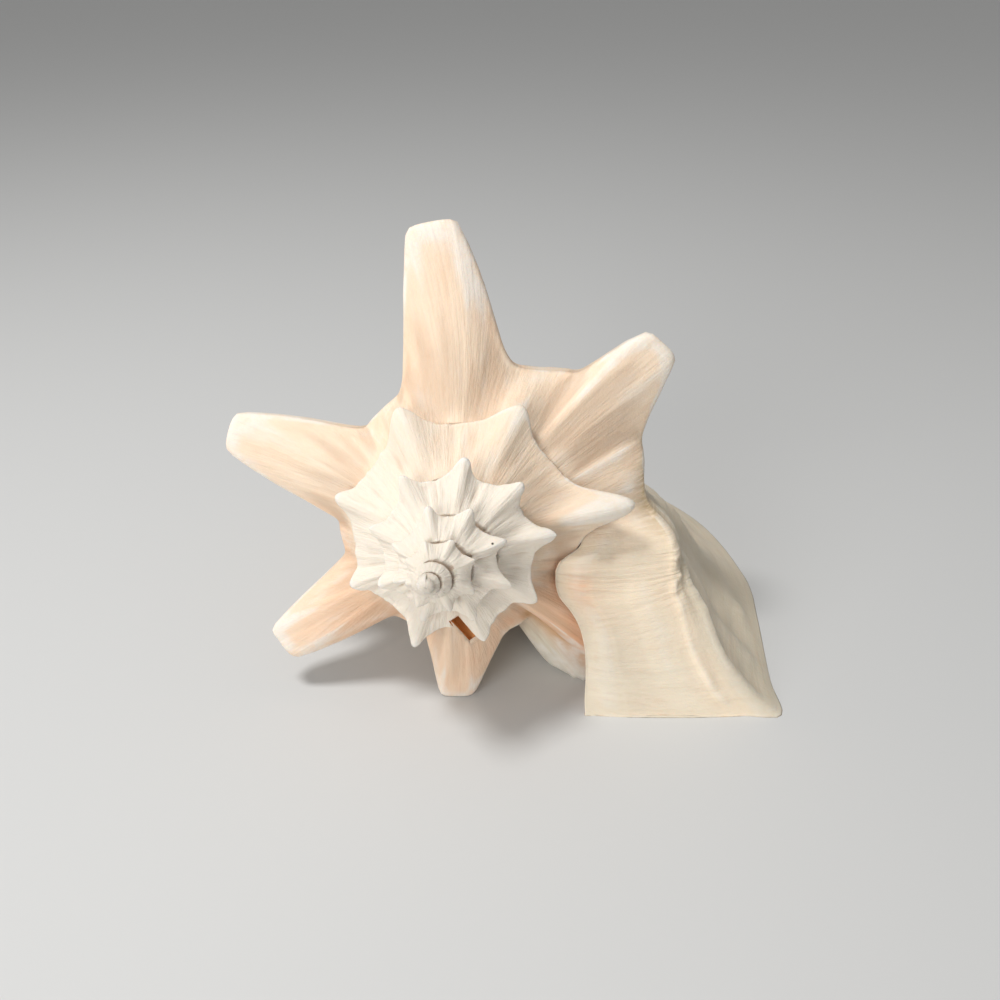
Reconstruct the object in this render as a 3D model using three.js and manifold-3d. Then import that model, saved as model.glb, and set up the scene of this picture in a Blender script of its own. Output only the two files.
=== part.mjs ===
// Queen conch shell, a young one with large blunt shoulder spines, lying on its aperture.
// Millimetres, +Z up, apex towards -Y, the canal towards +Y, the open lip at +X.
// The whole shell is one grown piece. Its skin is followed along the growth angle, in degrees:
// zero is straight up from the coiling axis, and growth runs clockwise seen from the apex.
import * as THREE from 'three';
import { mergeVertices } from 'three/addons/utils/BufferGeometryUtils.js';
import Module from 'manifold-3d';

// Coiling axis as the shell lies: the apex, and the direction from the apex to the canal
const APEX = new THREE.Vector3(-19.4, -26.8, 86);
const AXIS = new THREE.Vector3(0.057, 0.959, -0.278).normalize();
const AXIS_UP = new THREE.Vector3(0, 0, 1).addScaledVector(AXIS, -AXIS.z).normalize();
const AXIS_RIGHT = new THREE.Vector3().crossVectors(AXIS, AXIS_UP);

// Spire: radius of the shoulder between its spines, and how it grows in one turn
const SPIRE_RADIUS = 25.8;
const SPIRE_RADIUS_ANGLE = -720;
const GROWTH_PER_TURN = 1.6;
const SHOULDER_DEPTH = 1.2;

// Suture under the shoulder, by angle: drop and radius as shares of the shoulder radius. It runs
// lower under each small spine
const SUTURE_DROP = [[-580, 0.1], [-400, 0.035]];
const SPINE_DROP = 0.05;
const SUTURE_RADIUS = [[-900, 0.95], [-400, 0.99]];

// How far the first turns lean away from the coiling axis, and over which angles
const APEX_LEAN = new THREE.Vector3(-5, 0, -3.8);
const LEAN_START = -620;
const LEAN_END = -1900;
const LEAN_CURVE = 1.3;
const APEX_DEPTH = 0.9;

// Whole turns of the skin, and where the open mouth begins and ends
const START_ANGLE = -1980;
const MOUTH_ANGLE = 10;
const FREE_ANGLE = 90;
const LIP_ANGLE = 145.4;
const FLARE_ANGLE = 64;

// Ramp: hollow on the early turns, a little full after them, as shares of its width
const FULL_ANGLE = -1000;
const HOLLOW_RAMP = -0.12;
const FULL_RAMP = 0.07;

// Spacing of the skin's columns in degrees, and how many make one turn
const COLUMN = 5;
const TURN = 360 / COLUMN;

// Last whorl: angle, shoulder radius and shoulder depth below the apex
const SHOULDER = [
  [-281, 45.5, 55], [-242, 45.5, 58], [-228, 46, 61], [-204, 47.5, 61.5], [-151, 45.5, 60],
  [-90, 46, 60], [-23, 54, 64], [24, 64, 70], [41, 73, 73], [64, 76, 76], [82, 72, 70], [98, 82.5, 63],
  [109, 84.5, 61.5], [122, 87, 60], [130, 95, 59], [134.5, 105, 58], [140, 119, 57], [145.4, 135.5, 56],
];

// How far the shoulder lags behind the suture, in degrees, as the lip turns to face the ground
const SHOULDER_LAG = [
  [70, 0], [82, 1], [98, 5], [109, 10], [122, 17], [130, 19], [134.5, 17.5], [140, 19], [145.4, 22.4],
];

// Free rear margin of the lip after it leaves the whorl before it: angle, radius, depth
const FREE_MARGIN = [
  [92.5, 48.2, 57.2], [95, 48, 55.9], [98, 46, 53.9], [101, 42.3, 50.8], [105, 40.2, 49], [109, 40, 49],
  [114, 41.3, 49.6], [118, 43.2, 49.4], [121.5, 46.4, 49.6], [124, 52.5, 50.2], [127, 58.8, 51],
  [131, 65.2, 51.5], [137, 74, 52], [143, 84, 52.5], [145.4, 89.8, 52.7],
];

// Lip edge where it stands on the ground, from its rear corner round to the canal, x and y
const LIP_REAR = [33.2, 0];
const LIP_SHOULDER = [95.5, 0];
const LIP_EDGE = [
  [95.5, 0], [110, 0], [110.5, 20], [114, 60], [115.5, 84], [113, 100], [109, 117], [102, 136],
  [92, 152], [79, 167], [62, 180], [42, 189], [24, 194], [12, 196],
];

// How fast the flank opens and turns towards the standing edge
const FLARE_CURVE = 2.2;
const FLARE_TURN_CURVE = 1.2;

// Walls at the lip, in the whorl, and at the free margin as a share, reached over a share of the ramp
const LIP_WALL = 3;
const SHELL_WALL = 3.4;
const MARGIN_WALL = 0.35;
const MARGIN_SHARE = 0.3;

// Canal end: depth below the apex, its radius along the last turn and a quarter, and how the flank
// narrows to it
const CANAL_DEPTH = 225;
const CANAL_TIP = 228;
const WAIST = 1.8;
const FULLNESS = 1.5;
const CANAL_RADIUS = [[-360, 5], [10, 11], [50, 15], [90, 20], [145.4, 29]];

// Large spines: angle, reach past the shoulder, half angles of the root before and after the
// middle, how hollow each side is, half angle of the tip, lean along growth, rise to the apex,
// thickness, how squarely it ends, and how far the side after the middle spreads below
const BODY_SPINES = [
  {
    angle: -227, reach: 40, before: 21, after: 7, hollow: [1.6, 1], tip: 4.6, tipAfter: 2,
    lean: 0, rise: -4, thick: 34, square: 8, spread: 22,
  },
  { angle: -181, reach: 26, before: 26, after: 19, hollow: [2, 1.6], tip: 5, lean: 2, rise: 1, thick: 10 },
  { angle: -127, reach: 40, before: 21, after: 21, hollow: [1.6, 1.6], tip: 5, lean: 1, rise: 4, thick: 12 },
  { angle: -67, reach: 45, before: 23, after: 23, hollow: [1.6, 1.6], tip: 4.8, lean: -2, rise: 3, thick: 13 },
  { angle: -1, reach: 53.5, before: 24, after: 23, hollow: [1.5, 2.6], tip: 4.8, lean: -8, rise: 2, thick: 14 },
  { angle: 46.5, reach: 28, before: 9, after: 20, hollow: [1.6, 1.6], tip: 4.4, lean: 1, rise: 4, thick: 13 },
];
const SPREAD_DEPTH = 9;
const SPINE_CURVE = 1.7;
const LEAN_REACH = 0.6;

// Small spire spines, newest first: angle, reach past the shoulder and half angle. Each is a narrow
// thorn on a wide skirt
const SPIRE_SPINES = [
  [-281, 24, 6.5], [-334, 12, 8], [-384, 12, 8], [-432, 9, 6], [-477, 8, 6], [-521, 12, 5.5], [-558, 9, 5.5],
  [-597, 8, 5.5], [-639, 11, 5.5], [-675, 9, 6], [-711, 9, 6], [-752, 8, 6], [-794, 6.5, 6], [-837, 6, 6],
  [-881, 6, 6], [-924, 6.5, 6], [-969, 7.5, 6], [-1011, 6, 6.5], [-1054, 6, 6.5], [-1094, 5.5, 6.5],
  [-1148, 4, 7], [-1190, 4, 7], [-1232, 4, 7], [-1275, 4, 7], [-1317, 3.4, 7], [-1369, 3, 8], [-1415, 2.8, 8],
];
const SPINE_SKIRT = 13;
const THORN_PART = 0.68;
const THORN_CURVE = 2.3;
const THORN_RISE = 0.1;

// Slot cut in the spire to free the animal
const SLOT = { angle: -549, radius: 29, depth: 38, length: 11, width: 3.6, deep: 16, slant: 32 };

// Rows of the skin: shares of the ramp from suture to shoulder, then of the flank to the canal
const RAMP_ROWS = [0, 0.36, 0.68, 0.88, 1];
const BELOW_ROWS = [0.5, 1];
const FLANK_ROWS = [0.045, 0.09, 0.15, 0.23, 0.33, 0.45, 0.58, 0.72, 0.86, 1];
const SHOULDER_ROW = RAMP_ROWS.length - 1;
const SUTURE_ROW = SHOULDER_ROW + BELOW_ROWS.length;
const CANAL_ROW = SUTURE_ROW + FLANK_ROWS.length;

const radians = THREE.MathUtils.degToRad;
const lerp = THREE.MathUtils.lerp;
const clamp = THREE.MathUtils.clamp;

// Smooth value through knots whose first entry is the angle, without overshoot
function track(knots, angle, item) {
  const last = knots.length - 1;
  if (angle <= knots[0][0]) return knots[0][item];
  if (angle >= knots[last][0]) return knots[last][item];
  let k = 0;
  while (angle > knots[k + 1][0]) k += 1;
  const slope = (n) => (knots[n + 1][item] - knots[n][item]) / (knots[n + 1][0] - knots[n][0]);
  const tangent = (n) => {
    if (n === 0) return slope(0);
    if (n === last) return slope(last - 1);
    const before = slope(n - 1);
    const after = slope(n);
    return before * after <= 0 ? 0 : (2 * before * after) / (before + after);
  };
  const width = knots[k + 1][0] - knots[k][0];
  const s = (angle - knots[k][0]) / width;
  const near = knots[k][item] * (2 * s ** 3 - 3 * s ** 2 + 1) + tangent(k) * width * (s ** 3 - 2 * s ** 2 + s);
  return near + knots[k + 1][item] * (3 * s ** 2 - 2 * s ** 3) + tangent(k + 1) * width * (s ** 3 - s ** 2);
}

// A point of the skin from its angle, radius and depth below the apex, and back
function place({ angle, radius, depth }) {
  const a = radians(angle);
  const point = APEX.clone().addScaledVector(AXIS, depth);
  point.addScaledVector(AXIS_UP, radius * Math.cos(a)).addScaledVector(AXIS_RIGHT, radius * Math.sin(a));
  const young = clamp((LEAN_START - angle) / (LEAN_START - LEAN_END), 0, 1);
  point.addScaledVector(APEX_LEAN, young ** LEAN_CURVE);
  point.z = Math.max(point.z, 0);
  return point;
}

function locate(x, y, z) {
  const from = new THREE.Vector3(x, y, z).sub(APEX);
  const depth = from.dot(AXIS);
  const up = from.dot(AXIS_UP);
  const right = from.dot(AXIS_RIGHT);
  return { angle: Math.atan2(right, up) / radians(1), radius: Math.hypot(up, right), depth };
}

// Shoulder line without its spines
function shoulder(angle) {
  const spire = SPIRE_RADIUS * GROWTH_PER_TURN ** ((angle - SPIRE_RADIUS_ANGLE) / 360);
  if (angle < SHOULDER[0][0]) return { angle, radius: spire, depth: spire * SHOULDER_DEPTH };
  const lag = track(SHOULDER_LAG, angle, 1);
  return { angle: angle - lag, radius: track(SHOULDER, angle, 1), depth: track(SHOULDER, angle, 2) };
}

// Height of a small spine: a rounded thorn on a wide skirt
function thornAt(centre, half, angle) {
  const off = angle - centre;
  const thorn = Math.exp(-((off / half) ** 2));
  return lerp(Math.exp(-((off / SPINE_SKIRT) ** 2)), thorn, THORN_PART);
}

// How far below the shoulder the next whorl starts
function drop(angle) {
  const lower = SPIRE_SPINES.reduce((sum, [centre, , half]) => sum + thornAt(centre, half, angle), 0);
  return shoulder(angle).radius * (track(SUTURE_DROP, angle, 1) + SPINE_DROP * lower);
}

// Lower suture, where the next whorl starts
function suture(angle) {
  const keel = shoulder(angle);
  const radius = keel.radius * track(SUTURE_RADIUS, angle, 1);
  return { angle: keel.angle, radius, depth: keel.depth + drop(angle) };
}

// Upper edge of the skin at an angle: the suture of the whorl before, the apex, or the free margin
function upperEdge(angle) {
  if (angle < START_ANGLE + 360) return { angle, radius: 0, depth: APEX_DEPTH };
  const before = suture(angle - 360);
  const held = { angle, radius: before.radius, depth: before.depth };
  if (angle <= FREE_ANGLE) return held;
  const knots = [[FREE_ANGLE, suture(FREE_ANGLE - 360).radius, suture(FREE_ANGLE - 360).depth], ...FREE_MARGIN];
  return { angle, radius: track(knots, angle, 1), depth: track(knots, angle, 2) };
}

// Point of the standing lip edge at a share of its length from the shoulder to the canal
const lipKnots = LIP_EDGE.map(([x, y]) => new THREE.Vector3(x, y, 0));
const lipPath = new THREE.CatmullRomCurve3(lipKnots, false, 'centripetal');
lipPath.arcLengthDivisions = 600;

// Flank below the shoulder: t runs from the shoulder to the canal end
function ruledFlank(angle, t) {
  const keel = shoulder(angle);
  const end = track(CANAL_RADIUS, angle, 1);
  const full = Math.max(1 - t ** WAIST, 0) ** FULLNESS;
  const radius = end + (keel.radius - end) * full;
  return { angle: keel.angle, radius, depth: lerp(keel.depth, CANAL_DEPTH, t) };
}

function flank(angle, t) {
  const plain = ruledFlank(angle, t);
  if (angle <= FLARE_ANGLE) return plain;
  const share = (angle - FLARE_ANGLE) / (LIP_ANGLE - FLARE_ANGLE);
  const edge = lipPath.getPointAt(t);
  const lip = locate(edge.x, edge.y, edge.z);
  const ruled = ruledFlank(LIP_ANGLE, t);
  const open = share ** FLARE_CURVE;
  return {
    angle: plain.angle + (lip.angle - ruled.angle) * share ** FLARE_TURN_CURVE,
    radius: plain.radius + (lip.radius - ruled.radius) * open,
    depth: plain.depth + (lip.depth - ruled.depth) * open,
  };
}

// Spine height at an angle: a flat tip, then sides that fall and flare into the root
function spineAt(spine, angle) {
  const off = Math.abs(angle - spine.angle);
  const early = angle < spine.angle;
  const root = early ? spine.before : spine.after;
  const tip = early ? spine.tip : spine.tipAfter ?? spine.tip;
  const side = clamp((off - tip) / (root - tip), 0, 1);
  return (1 - side) ** spine.hollow[early ? 0 : 1];
}

// How far the spines carry the skin, at a depth below the shoulder and a share of the ramp
function spinePush(angle, below, share) {
  const push = { angle: 0, radius: 0, depth: 0 };
  for (const spine of BODY_SPINES) {
    const late = Math.max(angle - spine.angle, 0);
    const spread = (spine.spread ?? 0) * (1 - Math.exp(-below / SPREAD_DEPTH));
    const height = spineAt(spine, angle - Math.min(late, spread)) * share ** SPINE_CURVE;
    const hold = 1 / (1 + (below / spine.thick) ** (spine.square ?? 3));
    push.radius += spine.reach * height * hold;
    push.angle += (spine.lean / shoulder(angle).radius / radians(1)) * height ** 1.5 * hold * LEAN_REACH;
    push.depth -= spine.rise * height * hold;
  }
  const hold = clamp(1 - below / drop(angle), 0, 1) ** 1.3;
  for (const [centre, reach, half] of SPIRE_SPINES) {
    const height = reach * thornAt(centre, half, angle) * hold;
    push.radius += height * share ** THORN_CURVE;
    push.depth -= height * lerp(share * share * (1 - share), share, THORN_RISE);
  }
  return push;
}

function pushed(at, push) {
  return { angle: at.angle + push.angle, radius: at.radius + push.radius, depth: at.depth + push.depth };
}

// Ramp between the suture and the shoulder: hollow on the spire, full on the first turns, and
// a small dome over the first turn of all
function ramp(angle, share, spines) {
  const top = upperEdge(angle);
  const keel = shoulder(angle);
  const first = angle < START_ANGLE + 360;
  const hollow = angle < FULL_ANGLE ? HOLLOW_RAMP : FULL_RAMP;
  const flat = first || angle >= FLARE_ANGLE;
  const sag = flat ? 0 : hollow * (keel.radius - top.radius) * Math.sin(Math.PI * share);
  const at = {
    angle: lerp(top.angle, keel.angle, share),
    radius: lerp(top.radius, keel.radius, first ? Math.sin(share * Math.PI / 2) : share),
    depth: lerp(top.depth, keel.depth, first ? 1 - Math.cos(share * Math.PI / 2) : share) + sag,
  };
  return spines ? pushed(at, spinePush(keel.angle, 0, share)) : at;
}

// One point of the skin, by row
function skinAt(angle, row, spines = true) {
  if (row <= SHOULDER_ROW) return ramp(angle, RAMP_ROWS[row], spines);
  const keel = shoulder(angle);
  let t;
  const span = CANAL_DEPTH - keel.depth;
  const first = drop(angle) / span;
  if (row <= SUTURE_ROW) t = BELOW_ROWS[row - SHOULDER_ROW - 1] * first;
  else t = first + (1 - first) * FLANK_ROWS[row - SUTURE_ROW - 1];
  const wide = angle > SHOULDER[0][0] - 60;
  let at = wide ? flank(angle, t) : ruledFlank(angle, t);
  if (row <= SUTURE_ROW) {
    const low = suture(angle);
    const share = BELOW_ROWS[row - SHOULDER_ROW - 1];
    if (angle <= FLARE_ANGLE) {
      const radius = lerp(keel.radius, low.radius, share);
      at = { angle: keel.angle, radius, depth: lerp(keel.depth, low.depth, share) };
    }
  }
  return spines ? pushed(at, spinePush(keel.angle, Math.max(at.depth - keel.depth, 0), 1)) : at;
}

// Angles of the columns: even steps, drawn to the middle and the tip edges of each spine
function columnAngles() {
  const anchors = [[Math.round(START_ANGLE / COLUMN), START_ANGLE]];
  const centres = SPIRE_SPINES.map(([angle]) => ({ angle }));
  for (const spine of [...BODY_SPINES, ...centres].sort((a, b) => a.angle - b.angle)) {
    const at = Math.round(spine.angle / COLUMN);
    if (spine.tip) anchors.push([at - 1, spine.angle - spine.tip]);
    anchors.push([at, spine.angle]);
    if (spine.tip) anchors.push([at + 1, spine.angle + (spine.tipAfter ?? spine.tip)]);
  }
  anchors.push([FLARE_ANGLE / COLUMN + 0.2, FLARE_ANGLE + 1], [24, 120]);
  const angles = [];
  for (let i = anchors[0][0]; i <= 24; i += 1) {
    let k = 0;
    while (k < anchors.length - 2 && i > anchors[k + 1][0]) k += 1;
    const [i0, a0] = anchors[k];
    const [i1, a1] = anchors[k + 1];
    angles.push(a0 + ((a1 - a0) * (i - i0)) / (i1 - i0));
  }
  return [...angles, 124, 127.5, 130.5, 133, 135.5, 138, 140.5, 143, LIP_ANGLE];
}

const positions = [];
const faces = [];

function addPoint(point) {
  positions.push(point.x, point.y, point.z);
  return positions.length / 3 - 1;
}

function pointAt(index) {
  return new THREE.Vector3().fromArray(positions, index * 3);
}

function addQuad(a, b, c, d) {
  for (const [p, q, r] of [[a, b, c], [a, c, d]]) {
    if (p !== q && q !== r && r !== p) faces.push(p, q, r);
  }
}

const angles = columnAngles();
const columns = angles.length;
const mouth = angles.findIndex((angle) => angle >= MOUTH_ANGLE);
const free = angles.findIndex((angle) => angle >= FREE_ANGLE);
const bodyStart = mouth - TURN;
const apexPoint = addPoint(place(upperEdge(START_ANGLE)));

// Outer skin: rows to the suture everywhere, and on to the canal over the last turn
const outer = angles.map((angle, i) => {
  const column = [];
  const rows = i >= bodyStart ? CANAL_ROW : SUTURE_ROW;
  for (let row = 0; row <= rows; row += 1) {
    if (row === 0 && i < TURN) column.push(apexPoint);
    else if (row === 0 && i <= free) column.push(null);
    else column.push(addPoint(place(skinAt(angle, row))));
  }
  return column;
});
for (let i = TURN; i <= free; i += 1) outer[i][0] = outer[i - TURN][SUTURE_ROW];

// The last column stands on the ground: a straight edge to the shoulder, then the lip path
function edgePoint(row) {
  if (row <= SHOULDER_ROW) {
    return new THREE.Vector3(lerp(LIP_REAR[0], LIP_SHOULDER[0], RAMP_ROWS[row]), 0, 0);
  }
  const keel = shoulder(LIP_ANGLE);
  const first = drop(LIP_ANGLE) / (CANAL_DEPTH - keel.depth);
  const t = row <= SUTURE_ROW
    ? BELOW_ROWS[row - SHOULDER_ROW - 1] * first
    : first + (1 - first) * FLANK_ROWS[row - SUTURE_ROW - 1];
  return lipPath.getPointAt(t);
}
outer[columns - 1].forEach((index, row) => {
  edgePoint(row).toArray(positions, index * 3);
});

// Inner skin of the mouth: the plain whorl without spines, set in by the wall. Under the corner of
// the shoulder it runs straight
function innerPoint(i, row) {
  if (row > SHOULDER_ROW && row <= SUTURE_ROW) {
    const share = (row - SHOULDER_ROW) / (SUTURE_ROW + 1 - SHOULDER_ROW);
    return innerPoint(i, SHOULDER_ROW).lerp(innerPoint(i, SUTURE_ROW + 1), share);
  }
  const angle = angles[i];
  const at = (a, r) => place(skinAt(a, clamp(r, 0, CANAL_ROW), false));
  const along = at(Math.min(angle + 1, LIP_ANGLE), row).sub(at(angle - 1, row));
  const across = at(angle, row + 1).sub(at(angle, row - 1));
  const inward = new THREE.Vector3().crossVectors(across, along).normalize();
  const wall = lerp(SHELL_WALL, LIP_WALL, clamp((angle - FREE_ANGLE) / (LIP_ANGLE - FREE_ANGLE), 0, 1));
  const share = row <= SHOULDER_ROW ? RAMP_ROWS[row] : 1;
  const thin = lerp(MARGIN_WALL, 1, clamp(share / MARGIN_SHARE, 0, 1));
  const point = at(angle, row).addScaledVector(inward, wall * thin);
  point.z = Math.max(point.z, 0.4);
  return point;
}

function innerEdgePoint(row) {
  const low = pointAt(outer[columns - 1][Math.max(row - 1, 0)]);
  const high = pointAt(outer[columns - 1][Math.min(row + 1, CANAL_ROW)]);
  const along = high.sub(low).normalize();
  const point = pointAt(outer[columns - 1][row]);
  return point.add(new THREE.Vector3(-along.y, along.x, 0).multiplyScalar(LIP_WALL));
}

const inner = [];
for (let i = mouth; i < columns; i += 1) {
  inner[i] = [];
  for (let row = 0; row <= CANAL_ROW; row += 1) {
    if (row === 0 && i <= free) inner[i].push(outer[i - TURN][SUTURE_ROW + 1]);
    else inner[i].push(addPoint(i === columns - 1 ? innerEdgePoint(row) : innerPoint(i, row)));
  }
}

// Faces of the outer skin. The strip under the suture is hidden where the lip is still joined
for (let i = 0; i < columns - 1; i += 1) {
  const rows = i >= bodyStart ? CANAL_ROW : SUTURE_ROW;
  for (let row = 0; row < rows; row += 1) {
    const hidden = row === SUTURE_ROW && i < free - TURN;
    if (!hidden) addQuad(outer[i][row], outer[i + 1][row], outer[i + 1][row + 1], outer[i][row + 1]);
  }
}

// Faces of the inner skin and the three rims
for (let i = mouth; i < columns - 1; i += 1) {
  for (let row = 0; row < CANAL_ROW; row += 1) {
    addQuad(inner[i][row], inner[i][row + 1], inner[i + 1][row + 1], inner[i + 1][row]);
  }
  addQuad(outer[i][CANAL_ROW], outer[i + 1][CANAL_ROW], inner[i + 1][CANAL_ROW], inner[i][CANAL_ROW]);
  if (i >= free) addQuad(outer[i][0], inner[i][0], inner[i + 1][0], outer[i + 1][0]);
}
for (let row = 0; row < CANAL_ROW; row += 1) {
  const end = columns - 1;
  addQuad(outer[end][row], inner[end][row], inner[end][row + 1], outer[end][row + 1]);
}

// Start of the first turn, the tip of the canal, and the back wall deep inside the mouth
for (let row = 1; row < SUTURE_ROW; row += 1) faces.push(apexPoint, outer[0][row], outer[0][row + 1]);
const canalTip = addPoint(place({ angle: 0, radius: 0, depth: CANAL_TIP }));
for (let i = bodyStart; i < mouth; i += 1) faces.push(outer[i][CANAL_ROW], outer[i + 1][CANAL_ROW], canalTip);

const backWall = [];
for (let row = SUTURE_ROW + 1; row <= CANAL_ROW; row += 1) backWall.push(outer[bodyStart][row]);
backWall.push(canalTip, outer[mouth][CANAL_ROW]);
for (let row = CANAL_ROW; row > 0; row -= 1) backWall.push(inner[mouth][row]);
const section = backWall.map((index) => {
  const at = pointAt(index);
  const { radius, depth } = locate(at.x, at.y, at.z);
  return new THREE.Vector2(radius, depth);
});
const turnOf = (loop) => Math.sign(THREE.ShapeUtils.area(loop));
for (const [a, b, c] of THREE.ShapeUtils.triangulateShape(section, [])) {
  const same = turnOf([section[a], section[b], section[c]]) === turnOf(section);
  if (same) faces.push(backWall[a], backWall[b], backWall[c]);
  else faces.push(backWall[a], backWall[c], backWall[b]);
}

// The slanting slot that was cut through the spire
const wasm = await Module();
wasm.setup();

function solid(vertices, triangles) {
  const mesh = new wasm.Mesh({
    numProp: 3,
    vertProperties: new Float32Array(vertices),
    triVerts: new Uint32Array(triangles),
  });
  return new wasm.Manifold(mesh);
}

function slotCut() {
  const box = new THREE.BoxGeometry(SLOT.width, SLOT.deep, SLOT.length);
  box.deleteAttribute('normal');
  box.deleteAttribute('uv');
  const merged = mergeVertices(box);
  merged.rotateY(radians(SLOT.slant));
  const middle = place(SLOT);
  merged.translate(middle.x, middle.y, middle.z);
  return solid(merged.getAttribute('position').array, merged.getIndex().array);
}

const cut = solid(positions, faces).subtract(slotCut()).getMesh();
const geometry = new THREE.BufferGeometry();
geometry.setAttribute('position', new THREE.BufferAttribute(cut.vertProperties, 3));
geometry.setIndex(new THREE.BufferAttribute(cut.triVerts, 1));

// The origin is under the middle of the shell, on the surface it lies on
geometry.computeBoundingBox();
const { min, max } = geometry.boundingBox;
geometry.translate(-(min.x + max.x) / 2, -(min.y + max.y) / 2, -min.z);
geometry.computeVertexNormals();

const chalkyShell = new THREE.MeshStandardMaterial({ color: 0xe9d6bf, roughness: 0.62, metalness: 0 });
const shell = new THREE.Mesh(geometry, chalkyShell);
shell.name = 'shell';

const conch = new THREE.Group();
conch.add(shell);
export default conch;
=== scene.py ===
import math

import bpy
import numpy as np
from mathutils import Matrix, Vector
from mathutils.geometry import tessellate_polygon


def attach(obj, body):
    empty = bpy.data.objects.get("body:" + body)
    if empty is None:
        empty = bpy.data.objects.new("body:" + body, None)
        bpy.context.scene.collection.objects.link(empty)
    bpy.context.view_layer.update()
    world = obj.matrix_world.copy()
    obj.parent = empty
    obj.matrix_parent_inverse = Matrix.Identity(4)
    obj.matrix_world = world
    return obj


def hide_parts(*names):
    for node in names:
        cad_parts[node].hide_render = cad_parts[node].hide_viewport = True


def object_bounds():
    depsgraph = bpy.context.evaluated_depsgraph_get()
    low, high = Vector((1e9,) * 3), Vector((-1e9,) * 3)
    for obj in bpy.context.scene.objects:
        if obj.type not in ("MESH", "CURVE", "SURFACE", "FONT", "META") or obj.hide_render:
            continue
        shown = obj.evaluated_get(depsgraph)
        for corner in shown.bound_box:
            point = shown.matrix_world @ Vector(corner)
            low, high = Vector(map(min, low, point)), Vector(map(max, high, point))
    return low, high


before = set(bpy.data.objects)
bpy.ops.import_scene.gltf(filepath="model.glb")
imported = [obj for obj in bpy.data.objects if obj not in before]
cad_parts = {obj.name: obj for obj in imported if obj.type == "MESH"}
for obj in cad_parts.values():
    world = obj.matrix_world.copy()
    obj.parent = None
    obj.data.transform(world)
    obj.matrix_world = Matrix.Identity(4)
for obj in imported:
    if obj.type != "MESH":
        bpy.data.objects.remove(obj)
cad_box = [list(corner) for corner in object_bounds()]

# The shell: one grown piece of chalky limestone, laid down along a growing spiral. Each turn joins
# the turn before it at the suture, and the shoulder between ramp and flank carries hollow blunt
# spines. Angles are degrees of growth, clockwise seen from the apex; sizes are millimetres.
APEX = np.array([-19.4, -26.8, 86.0])
AXIS = np.array([0.057, 0.959, -0.278])
AXIS = AXIS / np.linalg.norm(AXIS)
AXIS_UP = np.array([0.0, 0.0, 1.0]) - AXIS * AXIS[2]
AXIS_UP = AXIS_UP / np.linalg.norm(AXIS_UP)
AXIS_RIGHT = np.cross(AXIS, AXIS_UP)
CENTRE = np.array([5.888, 85.0315, 0.0])

START_ANGLE, MOUTH_ANGLE, FREE_ANGLE, FLARE_ANGLE, LIP_ANGLE = -2520.0, 10.0, 90.0, 64.0, 145.4
STEP = 1.25
TURN = int(360 / STEP)

SPIRE_RADIUS, SPIRE_RADIUS_ANGLE, GROWTH_PER_TURN = 25.8, -720.0, 1.6
SHOULDER_DEPTH, SPINE_DROP = 1.2, 0.05
SUTURE_DROP = [(-760, 0.2), (-580, 0.13), (-400, 0.035)]
SUTURE_RADIUS = [(-900, 0.95), (-400, 0.99)]
APEX_LEAN, LEAN_ANGLES, LEAN_CURVE = np.array([-5.0, 0.0, -3.8]), (-620, -1900), 1.3
SHOULDER = [
    (-281, 45.5, 55), (-242, 45.5, 58), (-228, 46, 61), (-204, 47.5, 61.5), (-151, 45.5, 60),
    (-90, 46, 60), (-23, 54, 64), (24, 64, 70), (41, 73, 73), (64, 76, 76), (82, 72, 70),
    (98, 82.5, 63), (109, 84.5, 61.5), (122, 87, 60), (130, 95, 59), (134.5, 105, 58),
    (140, 119, 57), (145.4, 135.5, 56),
]
SHOULDER_LAG = [
    (70, 0), (82, 1), (98, 5), (109, 10), (122, 17), (130, 19), (134.5, 17.5), (140, 19), (145.4, 22.4),
]
FREE_MARGIN = [
    (92.5, 47, 56.9), (95, 47.2, 55.7), (98, 45.6, 54), (101, 42.3, 51.2), (105, 40.2, 49.5),
    (109, 40, 49.5), (114, 41.3, 50), (118, 43.2, 49.7), (121.5, 46.4, 49.8), (124, 52.5, 50.3),
    (127, 58.8, 51), (131, 65.2, 51.5), (137, 74, 52), (143, 84, 52.5), (145.4, 89.8, 52.7),
]
CANAL_RADIUS = [(-360, 5), (10, 11), (50, 15), (90, 20), (145.4, 29)]
CANAL_DEPTH, CANAL_TIP = 225.0, 228.0
# How the flank narrows to the canal, and how fast it opens and turns towards the standing edge
WAIST, FULLNESS, FLARE_CURVE, FLARE_TURN_CURVE = 1.8, 1.5, 2.2, 1.2
# The ramp is full on the first turns, up to an angle, and hollow after it, as shares of its width
LAST_FULL_ANGLE, FULL_RAMP, HOLLOW_RAMP = -1000, -0.12, 0.07
WALL, LIP_WALL = 3.4, 1.8
LIP_REAR, LIP_SHOULDER = (33.2, 0.0), (95.5, 0.0)
LIP_EDGE = [
    (95.5, 0), (110, 0), (110.5, 20), (114, 60), (115.5, 84), (113, 100), (109, 117), (102, 136),
    (92, 152), (79, 167), (62, 180), (42, 189), (24, 194), (12, 196),
]

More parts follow.
